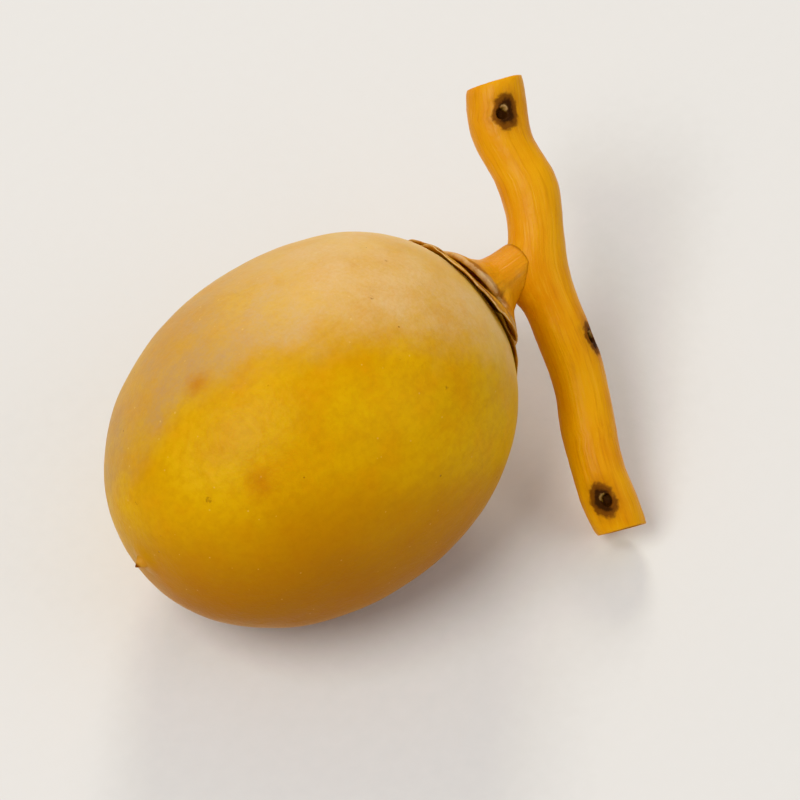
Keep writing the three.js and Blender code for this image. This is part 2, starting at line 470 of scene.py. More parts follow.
def ragged_edge(piece, amount, seed):
    """Moves the vertices of an open sheet's edge at random."""
    pick(piece)
    bpy.ops.object.mode_set(mode="EDIT")
    bpy.ops.mesh.select_mode(type="EDGE")
    bpy.ops.mesh.select_all(action="DESELECT")
    bpy.ops.mesh.select_non_manifold(
        extend=False, use_wire=False, use_multi_face=False, use_verts=False
    )
    bpy.ops.transform.vertex_random(offset=amount * MM, uniform=1, seed=seed)
    bpy.ops.object.mode_set(mode="OBJECT")


for number, petal in enumerate(petals):
    faces_point_out(petal)
    ragged_edge(petal, RAGGEDNESS, FIRST_SEED + number)
    apply_modifier(
        petal,
        "SOLIDIFY",
        thickness=PETAL_THICKNESS * MM,
        offset=1,
        vertex_group="thickness",
        thickness_vertex_group=0,
    )
    subdivide_smoothly(petal, 2)
    uneven(petal, [(1.6, 0.1), (0.45, 0.03)])
    finish_surface(petal)

# %% [markdown]
# ### The calyx
#
# The calyx is one small cup: a neck that grips the strand, and three round lobes with dry rims. Its
# section, pairs of radius and height, runs from the top of the neck down and out to the rim. It is
# spun the whole way round, and drawn in at three places to part the lobes.

# %% Model the calyx
CALYX_COLUMNS = 60
CALYX_SECTION = [
    (0.01, 3.9), (0.9, 3.9), (1.5, 3.9), (1.7, 3.84), (1.74, 3.45), (1.88, 3.05),
    (2.15, 2.65), (2.5, 2.26), (2.95, 1.9), (3.45, 1.6), (4.0, 1.34), (4.6, 1.14),
]
CALYX_RADIUS = CALYX_SECTION[-1][0]
CALYX_HUB = 2.3
CLEFT_DEPTH = 0.62
CLEFT_SHARPNESS = 7
CALYX_START = math.radians(12)
FIBRE_RADIUS = 3 * MM


def lobe_outline(angle):
    """How far a lobe reaches beyond the hub at an angle, as a share of its full reach."""
    width = math.tau / PETALS
    across = 2 * (((angle - CALYX_START) % width) / width) - 1
    return 1 - CLEFT_DEPTH * abs(across) ** CLEFT_SHARPNESS


calyx = fan("calyx_cup", CALYX_SECTION, 0, math.tau, CALYX_COLUMNS)
for column in range(CALYX_COLUMNS):
    angle = -math.pi + math.tau * column / CALYX_COLUMNS
    draw_in(calyx, angle, math.pi / CALYX_COLUMNS / 2, CALYX_HUB, lobe_outline(angle))
print("the calyx has", len(calyx.data.vertices), "vertices")

# %% Drape it and give it its thickness
CALYX_THICKNESS = 0.55
CALYX_WAVE = 0.12
CALYX_WAVE_SIZE = 1.8


def dress_calyx():
    rim, flat = [], []
    for vertex in calyx.data.vertices:
        distance, angle = polar(vertex.co)
        edge = CALYX_HUB + (CALYX_RADIUS - CALYX_HUB) * lobe_outline(angle)
        rim.append(min(1, distance / (edge * MM)))
        around = radial(angle) * FIBRE_RADIUS
        flat.append((around.y, distance, around.z))
    write_attribute(calyx, "rim", "FLOAT", rim)
    write_attribute(calyx, "flat", "FLOAT_VECTOR", flat)

    def lift(distance, angle, skin):
        wave = noise.noise(skin / (CALYX_WAVE_SIZE * MM))
        return CALYX_WAVE * wave * min(1, distance / (CALYX_RADIUS * MM))

    drape(calyx, lift)


dress_calyx()
faces_point_out(calyx)
apply_modifier(calyx, "SOLIDIFY", thickness=CALYX_THICKNESS * MM, offset=-1)
subdivide_smoothly(calyx, 2)
uneven(calyx, [(1.1, 0.1), (0.35, 0.03)])
finish_surface(calyx)

# %% [markdown]
# ## The strand
#
# The strand is a length of smooth stalk with small bends, cut off at both ends. Its line is
# measured from the solid: the long direction, and the middle of each slice across it. A circle is
# then extruded ring by ring along that line, and a Shrinkwrap lays it on the solid.

# %% Measure the strand's line
STRAND_SIDES = 20
STRAND_RADIUS = 2.1 * MM
RING_STEP = 0.75 * MM
SLICE_REACH = 1.1 * MM
solid_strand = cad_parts["strand"]
strand_points = np.array(places_of(solid_strand))
strand_mean = strand_points.mean(axis=0)
long_way = np.linalg.svd(strand_points - strand_mean, full_matrices=False)[2][0]
STRAND_UP = Vector(long_way if long_way[2] > 0 else -long_way)
heights = (strand_points - strand_mean) @ np.array(STRAND_UP)
strand_length = heights.max() - heights.min()
ring_count = int(round(strand_length / RING_STEP))
ring_heights = np.linspace(heights.min(), heights.max(), ring_count + 1)


def height_of(place):
    """How far along the strand a place is, measured from the strand's mean."""
    return (place - Vector(strand_mean)).dot(STRAND_UP)


def slice_middle(height):
    near = np.abs(heights - height) < SLICE_REACH
    middle = Vector(strand_points[near].mean(axis=0))
    return middle + STRAND_UP * (height - height_of(middle))


ring_middles = [slice_middle(height) for height in ring_heights]
print("the strand is", round(strand_length / MM, 1), "mm long, in", ring_count, "rings")

# %% Extrude a circle along it
deselect_all()
bpy.ops.mesh.primitive_circle_add(
    vertices=STRAND_SIDES,
    radius=STRAND_RADIUS,
    location=ring_middles[0],
    rotation=STRAND_UP.to_track_quat("Z", "Y").to_euler(),
)
strand = bpy.context.object
strand.name = "strand_stalk"
bpy.ops.object.transform_apply(location=True, rotation=True, scale=True)
bpy.ops.object.mode_set(mode="EDIT")
bpy.ops.mesh.select_all(action="SELECT")
for here, there in zip(ring_middles, ring_middles[1:]):
    bpy.ops.mesh.extrude_region_move(TRANSFORM_OT_translate={"value": there - here})
apply_modifier(strand, "SHRINKWRAP", target=solid_strand)
print("the strand has", len(strand.data.vertices), "vertices before it is closed")

# %% [markdown]
# A knife left a crisp edge at both ends, where the solid has a small bevel. The rind stands a
# little proud there, because the soft flesh inside it shrinks as it dries. So each end ring is
# widened and creased, which keeps it sharp when the strand is smoothed. It is then extruded
# inwards as the rind's rim, down to the flesh, and filled. What is still selected is the flesh, so
# an attribute is written there for the material. Smoothing the strand later carries it along.

# %% Close the cut ends
END_REACH = 0.6 * MM
END_INSET = 0.36 * MM
END_FLARE = 1.09
END_CREASE = 0.95
RIND_RIM = 0.91
FLESH_DEPTH = 0.12 * MM
FLESH_SHRINK = 0.97
ends = [(ring_middles[0], STRAND_UP), (ring_middles[-1], -STRAND_UP)]


def close_end(end, inwards):
    """Closes the open ring at an end with the rind's rim, a step down and a grid of faces."""
    edit(strand, lambda place: (place - end).dot(inwards) < END_REACH)
    bpy.ops.transform.translate(value=inwards * END_INSET)
    bpy.ops.transform.resize(value=[END_FLARE] * 3)
    bpy.ops.transform.edge_crease(value=END_CREASE)
    bpy.ops.mesh.extrude_region_move(TRANSFORM_OT_translate={"value": (0, 0, 0)})
    bpy.ops.transform.resize(value=[RIND_RIM] * 3)
    bpy.ops.mesh.extrude_region_move(TRANSFORM_OT_translate={"value": inwards * FLESH_DEPTH})
    bpy.ops.transform.resize(value=[FLESH_SHRINK] * 3)
    bpy.ops.mesh.fill_grid(span=STRAND_SIDES // 4)
    bpy.ops.object.mode_set(mode="OBJECT")
    return [vertex.index for vertex in strand.data.vertices if vertex.select]


flesh = set()
for end, inwards in ends:
    flesh.update(close_end(end, inwards))
write_attribute(strand, "cut", "FLOAT", [float(v.index in flesh) for v in strand.data.vertices])
edit(strand)
bpy.ops.mesh.normals_make_consistent(inside=False)
bpy.ops.object.mode_set(mode="OBJECT")
print("closed both ends, with", len(flesh), "vertices on the flesh")

# %% [markdown]
# Flowers that set no fruit left scars on the strand, in a spiral. Each is an oval with a raised
# rim, a pit, and the stump of the flower in it. By hand we would select a few faces, inset them
# and move them out, inset again and move them in. The same is done here for every scar. Each step
# below has how far the faces are inset and then moved out, in millimetres.

# %% Find the scars
SCAR_STEP = 6.3 * MM
SCAR_TURN = math.radians(137.5)
SCAR_NUMBERS = [-3, -2, -1, 1, 2]
NODE_GAP = 0.236 * MM
node_place = Vector((calyx_high.x + NODE_GAP, cap_middle.y, cap_middle.z))
to_fruit = Vector((-1, 0, 0)) + STRAND_UP * STRAND_UP.x
to_fruit.normalize()
sideways = to_fruit.cross(STRAND_UP)


def strand_middle(height):
    """The middle of the strand at a height along it."""
    share = np.interp(height, ring_heights, range(len(ring_heights)))
    first = min(int(share), len(ring_middles) - 2)
    return ring_middles[first].lerp(ring_middles[first + 1], share - first)


node_height = height_of(node_place)
scars = []
for number in SCAR_NUMBERS:
    angle = number * SCAR_TURN
    out = to_fruit * math.cos(angle) + sideways * math.sin(angle)
    middle = strand_middle(node_height + number * SCAR_STEP)
    _, place, _, _ = solid_strand.ray_cast(middle + out * (3 * STRAND_RADIUS), -out)
    scars.append((place, out))
print("found", len(scars), "scars, the first at", in_mm(scars[0][0]), "mm")

# %% Cut the scars into the strand
SCAR_RADIUS = 0.62 * MM
SCAR_ROUNDNESS = 0.7
SCAR_STEPS = [(0.14, 0.2), (0.16, 0), (0.1, -0.5), (0.12, 0.22)]


def select_faces_near(piece, place, reach):
    pick(piece)
    bpy.ops.object.mode_set(mode="EDIT")
    bpy.ops.mesh.select_mode(type="FACE")
    bpy.ops.mesh.select_all(action="DESELECT")
    bpy.ops.object.mode_set(mode="OBJECT")
    nearest = nearest_vertex(piece, place)
    for face in piece.data.polygons:
        face.select = (face.center - nearest).length < reach
    bpy.ops.object.mode_set(mode="EDIT")


def cut_scar(piece, place, out):
    select_faces_near(piece, place, SCAR_RADIUS)
    bpy.ops.transform.tosphere(value=SCAR_ROUNDNESS)
    for inset, move in SCAR_STEPS:
        bpy.ops.mesh.inset(thickness=inset * MM)
        bpy.ops.transform.translate(value=out * (move * MM))
    bpy.ops.object.mode_set(mode="OBJECT")


for place, out in scars:
    cut_scar(strand, place, out)
subdivide_smoothly(strand, 2)
print("cut", len(scars), "scars, and the strand has", len(strand.data.polygons), "faces")

# %% [markdown]
# The fibres of the strand run along it and follow its bends. Their pattern needs coordinates in
# which the strand is straight. So each vertex stores its place from the middle line, and its
# height along the strand, in an attribute that the material reads. Then the strand gets its slow
# swells, and a low knob is pulled out where it bears the cap.

# %% Straightened coordinates for the fibres
KNOB_HEIGHT = 0.5 * MM
KNOB_REACH = 3.4


def straighten(place):
    height = height_of(place)
    away = place - strand_middle(height)
    return away.dot(to_fruit), away.dot(sideways), height


straight = [straighten(place) for place in places_of(strand)]
write_attribute(strand, "straight", "FLOAT_VECTOR", straight)
uneven(strand, [(3.2, 0.16), (0.7, 0.035)])
pull(strand, node_place, Vector((-KNOB_HEIGHT, 0, 0)), KNOB_REACH, "SMOOTH")
finish_surface(strand)

# %% [markdown]
# The cap's neck has grown together with the strand, so its end has the shape of the strand's side.
# Each vertex near the end is moved along X to the strand's skin and a little way in, all the way at
# the end and less towards the lobes. An attribute keeps that share, for the thin brown line of cork
# that a date has there.

# %% Seat the neck on the strand
NECK_FOOT = cap_middle.x + 2.5 * MM
NECK_END = max(place.x for place in places_of(calyx))
NECK_SINK = 0.15 * MM
LONGEST_REACH = 22.6 * MM
seam = [eased((place.x - NECK_FOOT) / (NECK_END - NECK_FOOT)) for place in places_of(calyx)]
for vertex, share in zip(calyx.data.vertices, seam):
    start = Vector((cap_middle.x, vertex.co.y, vertex.co.z))
    hit, skin, _, _ = strand.ray_cast(start, Vector((1, 0, 0)))
    reach = min(skin.x, LONGEST_REACH) if hit else LONGEST_REACH
    vertex.co.x += share * (reach + NECK_SINK - NECK_END)
write_attribute(calyx, "seam", "FLOAT", seam)
neck_reach = max(place.x for place in places_of(calyx))
print("the neck reaches x =", round(neck_reach / MM, 2), "mm")

# %% [markdown]
# ## Materials
#
# A painted image could give each piece its colours. Patterns made by nodes are better here: they
# stay sharp however near we come, and need no unwrapping. By hand we would add each node and draw
# its links. Here a helper adds one node, feeds it and returns its output, so that a finish reads as
# a list of steps. A pattern's place is the Object coordinates or an attribute, because both stay
# with the piece.

# %% Helpers for a new finish


def new_finish(name):
    finish = bpy.data.materials.new(name)
    finish.use_nodes = True
    tree = finish.node_tree
    return finish, tree, tree.nodes["Principled BSDF"]


def feed(tree, source, socket):
    """Links a node's output to a socket, or writes a plain value on it."""
    if isinstance(source, bpy.types.NodeSocket):
        tree.links.new(source, socket)
    else:
        socket.default_value = source


def set_inputs(node, values):
    for name, value in values.items():
        node.inputs[name].default_value = value


print("the helpers for a new finish are ready")

# %% Helpers for places and sums


def object_place(tree):
    return tree.nodes.new("ShaderNodeTexCoord").outputs["Object"]


def attribute_of(tree, name, output="Vector"):
    node = tree.nodes.new("ShaderNodeAttribute")
    node.attribute_name = name
    return node.outputs[output]


def stretched(tree, place, scale):
    """A pattern on this place runs along the directions whose scale is small."""
    node = tree.nodes.new("ShaderNodeMapping")
    feed(tree, place, node.inputs["Vector"])
    node.inputs["Scale"].default_value = scale
    return node.outputs["Vector"]


def combine(tree, operation, first, second=0):
    node = tree.nodes.new("ShaderNodeMath")
    node.operation = operation
    feed(tree, first, node.inputs[0])
    feed(tree, second, node.inputs[1])
    return node.outputs[0]


def times(tree, first, second):
    return combine(tree, "MULTIPLY", first, second)


print("the helpers for places and sums are ready")

# %% [markdown]
# Noise makes clouds. A ramp turns what lies between two of its values into a share from 0 to 1, so
# that soft clouds fall apart into patches. Voronoi cells make dots: each cell knows how far its
# point is, and has a random number of its own, by which only some dots are kept. Every size is in
# millimetres.

# %% Helpers for patterns
DOT_SOFTNESS = 0.25
PICK_SOFTNESS = 0.02


def ramp(tree, source, start, end, low=0, high=1):
    node = tree.nodes.new("ShaderNodeMapRange")
    node.interpolation_type = "SMOOTHSTEP"
    feed(tree, source, node.inputs["Value"])
    set_inputs(node, {"From Min": start, "From Max": end, "To Min": low, "To Max": high})
    return node.outputs["Result"]


def cloud(tree, place, size, detail=3, roughness=0.55):
    node = tree.nodes.new("ShaderNodeTexNoise")
    feed(tree, place, node.inputs["Vector"])
    set_inputs(node, {"Scale": 1 / (size * MM), "Detail": detail, "Roughness": roughness})
    return node.outputs["Fac"]


def patches(tree, place, size, start, end, low=0, high=1, **settings):
    return ramp(tree, cloud(tree, place, size, **settings), start, end, low, high)


def cells(tree, place, size):
    """The distance to the nearest of many scattered points, and that point's random number."""
    node = tree.nodes.new("ShaderNodeTexVoronoi")
    feed(tree, place, node.inputs["Vector"])
    node.inputs["Scale"].default_value = 1 / (size * MM)
    split = tree.nodes.new("ShaderNodeSeparateColor")
    tree.links.new(node.outputs["Color"], split.inputs["Color"])
    return node.outputs["Distance"], split.outputs["Red"]


def scattered(tree, place, size, radius, share):
    """Dots of one radius, scattered about some distance apart. Only a share of them is kept."""
    gap, pick_number = cells(tree, place, size)
    edge = radius / size
    dots = ramp(tree, gap, edge * (1 + DOT_SOFTNESS), edge * (1 - DOT_SOFTNESS))
    kept = ramp(tree, pick_number, share + PICK_SOFTNESS, share - PICK_SOFTNESS)
    return times(tree, dots, kept)


print("the helpers for patterns are ready")

# %% [markdown]
# A mark, such as a scar, is a distance with a ramp on it. Its colour is then laid over what is
# already there, as a painter lays one glaze over another. Relief comes from Bump nodes in a row,
# each with a pattern and its depth in millimetres.

# %% Helpers for marks


def measure(tree, operation, place, other):
    node = tree.nodes.new("ShaderNodeVectorMath")
    node.operation = operation
    feed(tree, place, node.inputs[0])
    node.inputs[1].default_value = other
    return node.outputs["Value"]


def far_from(tree, place, point):
    return measure(tree, "DISTANCE", place, point)


def out_from(tree, place, start, direction):
    """How far a place is from a start, measured along a direction."""
    along = measure(tree, "DOT_PRODUCT", place, direction)
    return combine(tree, "SUBTRACT", along, start.dot(direction))


def closest(tree, gaps):
    nearest = gaps[0]
    for gap in gaps[1:]:
        nearest = combine(tree, "MINIMUM", nearest, gap)
    return nearest


print("the helpers for marks are ready")

# %% Helpers for colour
# A Mix node has sockets for several kinds of value, and these are the ones for colours.
MIX_AMOUNT, MIX_UNDER, MIX_OVER, MIX_RESULT = 0, 6, 7, 2


def rgb(red, green, blue):
    """A colour as it looks on a screen, from 0 to 255, made linear for the shader."""
    def linear(value):
        share = value / 255
        return share / 12.92 if share <= 0.04045 else ((share + 0.055) / 1.055) ** 2.4

    return (linear(red), linear(green), linear(blue), 1)


def layer(tree, under, over, amount, share=1):
    """Lays a colour over another, as thickly as an amount says, and at most by a share."""
    node = tree.nodes.new("ShaderNodeMix")
    node.data_type = "RGBA"
    feed(tree, amount if share == 1 else times(tree, amount, share), node.inputs[MIX_AMOUNT])
    feed(tree, under, node.inputs[MIX_UNDER])
    feed(tree, over, node.inputs[MIX_OVER])
    return node.outputs[MIX_RESULT]


def coats(tree, palette, ground, steps):
    """Lays one named colour after another over the ground, each with its amount and share."""
    for name, amount, share in steps:
        ground = layer(tree, ground, palette[name], amount, share)
    return ground


print("half of a screen's white is", round(rgb(128, 128, 128)[0], 2), "in the shader")

# %% Helpers for relief and soft flesh


def bumps(tree, shader, heights):
    normal = None
    for height, depth in heights:
        node = tree.nodes.new("ShaderNodeBump")
        node.inputs["Distance"].default_value = depth * MM
        feed(tree, height, node.inputs["Height"])
        if normal:
            tree.links.new(normal, node.inputs["Normal"])
        normal = node.outputs["Normal"]
    tree.links.new(normal, shader.inputs["Normal"])


def soft_flesh(shader, weight, scale):
    """Light goes a little way into juicy flesh, and comes out warm."""
    set_inputs(shader, {
        "Subsurface Weight": weight,
        "Subsurface Radius": (1.0, 0.42, 0.08),
        "Subsurface Scale": scale * MM,
    })


print("the helpers for relief are ready")

# %% [markdown]
# ### The skin of the fruit
#
# Seen closely, the skin is golden yellow with deeper ochre patches. It is browner on one lower
# side, partly because that side ripens first and partly as painted shade. A thin pale layer lies on
# it, partly a bloom of wax and partly a painted reflection on the upper side, and a broad oval is
# left bare of it, rubbed clean of wax. There are tiny dark specks, a few reddish scuffs, and a
# brown point at the tip. The places come first, as directions from the middle of the fruit.

# %% Places on the skin
# Each mark has a direction and a size in millimetres.
SCUFFS = [
    ((0.35, 0.80, -0.25), 1.9),
    ((0.42, 0.84, -0.04), 0.8),
    ((-0.45, 0.75, -0.35), 0.9),
]
FAINT_SPOTS = [((-0.62, -0.35, 0.62), 1.7), ((-0.56, 0.23, 0.79), 1.7)]
# The lower side is browner: partly riper skin, partly painted shade.
RIPE_AND_SHADED_SIDE = Vector((-0.42, -0.66, -0.48)).normalized()
UPPER_END = Vector((0.93, -0.15, 0.33)).normalized()
UPPER_SIDE = Vector((0, 0.91, 0.415)).normalized()
# The bare oval is rubbed clean of wax and has no painted reflection.
BARE_OVAL_MIDDLE = fruit_middle + Vector((-7, -5.2, -5.4)) * MM
BARE_OVAL_HALVES = [(UPPER_END, 22.5 * MM), (UPPER_SIDE, 13.8 * MM)]


def on_skin(marks):
    """Finds each mark's place on the skin, and keeps its size."""
    found = []
    for direction, size in marks:
        _, place, _, _ = fruit.ray_cast(fruit_middle, Vector(direction).normalized())
        found.append((place, size))
    return found


scuff_places = on_skin(SCUFFS)
faint_places = on_skin(FAINT_SPOTS)
print("marked", len(scuff_places), "scuffs and", len(faint_places), "faint spots")

# %% The skin's colours
SKIN = {
    "gold": rgb(217, 168, 2),
    "ochre": rgb(204, 147, 2),
    "mottle": rgb(220, 144, 4),
    "vein": rgb(186, 126, 6),
    "grain": rgb(182, 120, 6),
    # The brown of the lower side is partly riper skin and partly painted shade.
    "ripe_and_painted_shade": rgb(166, 98, 3),
    "ring round the cap": rgb(222, 176, 60),
    # The pale layer is wax bloom and, on the upper side, painted reflection. It is tan at the tip
    # and paler at the cap.
    "wax_and_painted_reflection at the tip": rgb(184, 146, 100),
    "wax_and_painted_reflection at the cap": rgb(218, 184, 130),
    "pale dot": rgb(232, 196, 120),
    "dark dot": rgb(134, 76, 16),
    "speck": rgb(126, 66, 14),
    "stain": rgb(180, 98, 14),
    "scuff": rgb(146, 72, 20),
    "scuff's core": rgb(98, 44, 16),
    "faint spot": rgb(178, 92, 12),
    "foot of the tip": rgb(206, 150, 70),
    "point of the tip": rgb(104, 58, 22),
    "sheen": rgb(255, 232, 190),
}
print("the skin has", len(SKIN), "colours")

# %% The skin's ground colour


def ground_colour(tree, place):
    """Golden skin with ochre patches, orange mottling, faint veins along it, and finer grain."""
    broad = patches(tree, place, 11, 0.35, 0.68, detail=2)
    mottle = patches(tree, place, 2.6, 0.42, 0.75, detail=4, roughness=0.6)
    veins = patches(tree, stretched(tree, place, (0.12, 1, 1)), 0.8, 0.45, 0.7)
    grain = patches(tree, place, 0.7, 0.35, 0.7, detail=4, roughness=0.65)
    # Browner towards the lower side, partly as riper skin and partly as painted shade.
    ripe_and_painted_shade = ramp(tree, out_from(tree, place, fruit_middle, RIPE_AND_SHADED_SIDE), 2 * MM, 13 * MM)
    ring = ramp(tree, far_from(tree, place, cap_middle), 10 * MM, 7.2 * MM)
    return coats(tree, SKIN, SKIN["gold"], [
        ("ochre", broad, 1),
        ("mottle", mottle, 0.3),
        ("vein", veins, 0.16),
        ("grain", grain, 0.25),
        ("ripe_and_painted_shade", ripe_and_painted_shade, 0.85),
        ("ring round the cap", ring, 0.5),
    ])


print("the ground colour is ready")

# %% The skin's bloom and painted reflection


def out_of_bare_oval(tree, place):
    """How far out a place is from the middle of the bare oval, with 1 at its outline."""
    squares = []
    for direction, half in BARE_OVAL_HALVES:
        share = out_from(tree, place, BARE_OVAL_MIDDLE, direction / half)
        squares.append(times(tree, share, share))
    return combine(tree, "SQRT", combine(tree, "ADD", *squares))


def bloom_and_reflection_amount(tree, place):
    """How thick the bloom and painted reflection are: round the bare oval, uneven, grainy, less on
    the belly.
    """
    edge = combine(tree, "SUBTRACT", cloud(tree, place, 5, detail=4), 0.5)
    out = combine(tree, "ADD", out_of_bare_oval(tree, place), times(tree, edge, 0.35))
    around = ramp(tree, out, 0.87, 1.13)
    grain = patches(tree, place, 0.3, 0.3, 0.7, 0.7, 1, detail=4, roughness=0.7)
    drift = patches(tree, place, 4, 0.3, 0.7, 0.5, 1, detail=4, roughness=0.6)
    # The pale layer is thinner low down and thicker high up, where it is a painted reflection of
    # light from above.
    height = measure(tree, "DOT_PRODUCT", place, (0, 0, 1))
    ragged_height = combine(tree, "ADD", height, times(tree, edge, 9 * MM))
    kept = ramp(tree, ragged_height, 4 * MM, 11 * MM, 0.25, 1)
    return times(tree, times(tree, around, drift), times(tree, grain, kept))


def with_bloom_and_reflection(tree, place, colour, bloom_and_painted_reflection):
    # The pale layer of wax and painted reflection is tan towards the tip and paler towards the cap.
    towards_cap = ramp(tree, out_from(tree, place, fruit_middle, UPPER_END), -6 * MM, 13 * MM)
    wax_and_painted_reflection = layer(tree, SKIN["wax_and_painted_reflection at the tip"], SKIN["wax_and_painted_reflection at the cap"], towards_cap)
    return layer(tree, colour, wax_and_painted_reflection, bloom_and_painted_reflection, 0.95)


print("the bloom is ready")

# %% [markdown]
# The small marks come on top of the bloom and its painted reflection. A scuff is a distance made
# ragged by clouds, and three ramps of it give the wide stain, the scuff itself and its dark core.
# All but the stain are flaked, because old cork breaks up.

# %% The skin's freckles


def with_freckles(tree, place, colour, dark_dots):
    pale_dots = scattered(tree, place, 1.1, 0.08, 0.7)
    broken = patches(tree, place, 0.22, 0.4, 0.62, detail=4, roughness=0.7)
    specks = times(tree, scattered(tree, place, 4.5, 0.26, 0.4), broken)
    return coats(tree, SKIN, colour, [
        ("pale dot", pale_dots, 0.35),
        ("dark dot", dark_dots, 0.6),
        ("speck", specks, 0.6),
    ])


print("the freckles are ready")

# %% The skin's scuffs and its dry point


def far_from_marks(tree, place, marks):
    """How far the closest mark is, as a share of its size."""
    gaps = []
    for point, size in marks:
        gaps.append(combine(tree, "DIVIDE", far_from(tree, place, point), size * MM))
    return closest(tree, gaps)


def scuff_amounts(tree, place):
    """How strong the stain, the scuff and its core are."""
    broad = cloud(tree, stretched(tree, place, (0.5, 1, 1)), 1.5)
    fine = cloud(tree, place, 0.4, detail=5, roughness=0.75)
    ragged = combine(tree, "ADD", times(tree, broad, 1.6), times(tree, fine, 0.7))
    gap = combine(tree, "ADD", far_from_marks(tree, place, scuff_places), ragged)
    flaked = patches(tree, place, 0.3, 0.35, 0.6, 0.3, 1, detail=4, roughness=0.7)
    scuff = times(tree, ramp(tree, gap, 1.95, 1.6), flaked)
    core = times(tree, ramp(tree, gap, 1.6, 1.3), flaked)
    return ramp(tree, gap, 2.4, 1.6), scuff, core


def with_marks(tree, place, colour, stain, scuff, core):
    ragged = cloud(tree, place, 0.9, detail=5, roughness=0.7)
    faint_gap = combine(tree, "ADD", far_from_marks(tree, place, faint_places), ragged)
    tip_gap = far_from(tree, place, tip)
    return coats(tree, SKIN, colour, [
        ("stain", stain, 0.4),
        ("scuff", scuff, 0.7),
        ("scuff's core", core, 0.7),
        ("faint spot", ramp(tree, faint_gap, 1.5, 0.3), 0.5),
        ("foot of the tip", ramp(tree, tip_gap, 1.5 * MM, 0.7 * MM), 0.7),
        ("point of the tip", ramp(tree, tip_gap, 0.55 * MM, 0.25 * MM), 1),
    ])


print("the scuffs and the dry point are ready")

# %% The skin's finish


def skin_finish():
    finish, tree, shader = new_finish("date_skin")
    place = object_place(tree)
    # The pale layer is partly wax bloom and partly painted reflection. It also makes the skin
    # rougher.
    bloom_and_painted_reflection = bloom_and_reflection_amount(tree, place)
    dark_dots = scattered(tree, place, 1.9, 0.09, 0.35)
    stain, scuff, core = scuff_amounts(tree, place)

    colour = with_bloom_and_reflection(tree, place, ground_colour(tree, place), bloom_and_painted_reflection)
    colour = with_freckles(tree, place, colour, dark_dots)
    colour = with_marks(tree, place, colour, stain, scuff, core)
    tree.links.new(colour, shader.inputs["Base Color"])

    rough = combine(tree, "ADD", ramp(tree, bloom_and_painted_reflection, 0, 1, 0.45, 0.6), times(tree, scuff, 0.2))
    tree.links.new(rough, shader.inputs["Roughness"])
    set_inputs(shader, {
        "Specular IOR Level": 0.25,
        "Sheen Weight": 0.26,
        "Sheen Roughness": 0.18,
        "Sheen Tint": SKIN["sheen"],
    })
    soft_flesh(shader, 0.2, 2.5)
    bumps(tree, shader, [
        (cloud(tree, place, 1.4), 0.06),
        (cloud(tree, place, 0.28), 0.03),
        (combine(tree, "SUBTRACT", 1, dark_dots), 0.03),
        (combine(tree, "SUBTRACT", 1, scuff), 0.08),
    ])
    return finish


fruit.data.materials.append(skin_finish())
print("the skin has", len(fruit.data.materials[0].node_tree.nodes), "nodes")

# %% [markdown]
# ### Petals and calyx
#
# The cap has the fruit's own yellow, but it is drier. Fine fibres run out from the middle, the
# rims are brown where they dried, and the outermost edge is thin, pale and papery. The neck of the
# calyx has the strand's orange, with a thin line of brown cork where the two have grown together.

# %% The cap's colours
CAP = {
    "fibre": rgb(150, 88, 24),
    "dry rim": rgb(146, 88, 34),
    "paper": rgb(212, 174, 120),
    "faded": rgb(206, 176, 130),
    "neck": rgb(220, 143, 10),
    "cork": rgb(150, 88, 24),
}
print("the cap has", len(CAP), "colours")

# %% The cap's finishes
FIBRES_OUTWARDS = (1, 0.07, 1)


def cap_finish(name, light, deep, rim_start, fibre_size, has_neck=False):
    finish, tree, shader = new_finish(name)
    place = object_place(tree)
    rim = attribute_of(tree, "rim", "Fac")
    fibre_place = stretched(tree, attribute_of(tree, "flat"), FIBRES_OUTWARDS)
    fibres = cloud(tree, fibre_place, fibre_size)
    mottle = patches(tree, place, 2.2, 0.35, 0.7, detail=4, roughness=0.6)
    wobble = combine(tree, "SUBTRACT", cloud(tree, place, 0.9, detail=5, roughness=0.7), 0.5)
    ragged_rim = combine(tree, "ADD", rim, times(tree, wobble, 0.22))
    dry = ramp(tree, ragged_rim, rim_start - 0.16, rim_start)
    depth = patches(tree, place, 3.4, 0.42, 0.62, 0.15, 0.9, detail=2)

    colour = coats(tree, CAP, layer(tree, light, deep, mottle), [
        ("fibre", ramp(tree, fibres, 0.5, 0.75), 0.45),
        ("dry rim", times(tree, dry, depth), 1),
        ("paper", ramp(tree, ragged_rim, 0.95, 1.01), 0.85),
        ("faded", patches(tree, place, 3.1, 0.58, 0.72), 0.5),
    ])
    if has_neck:
        seam = attribute_of(tree, "seam", "Fac")
        colour = coats(tree, CAP, colour, [
            ("neck", ramp(tree, rim, 0.62, 0.42), 0.85),
            ("cork", ramp(tree, seam, 0.88, 0.98), 0.595),
        ])
    tree.links.new(colour, shader.inputs["Base Color"])
    tree.links.new(ramp(tree, ragged_rim, 0.7, 1, 0.5, 0.78), shader.inputs["Roughness"])
    soft_flesh(shader, 0.12, 1)
    bumps(tree, shader, [(fibres, 0.09), (cloud(tree, place, 0.2), 0.04)])
    return finish


petal_finish = cap_finish(
    "petal_skin", rgb(216, 158, 44), rgb(192, 122, 30), rim_start=0.93, fibre_size=0.35
)
calyx_finish = cap_finish(
    "calyx_skin", rgb(224, 156, 36), rgb(204, 128, 26), rim_start=0.9, fibre_size=0.3, has_neck=True
)
for petal in petals:
    petal.data.materials.append(petal_finish)
calyx.data.materials.append(calyx_finish)
print("the cap's finish has", len(calyx_finish.node_tree.nodes), "nodes on the calyx")

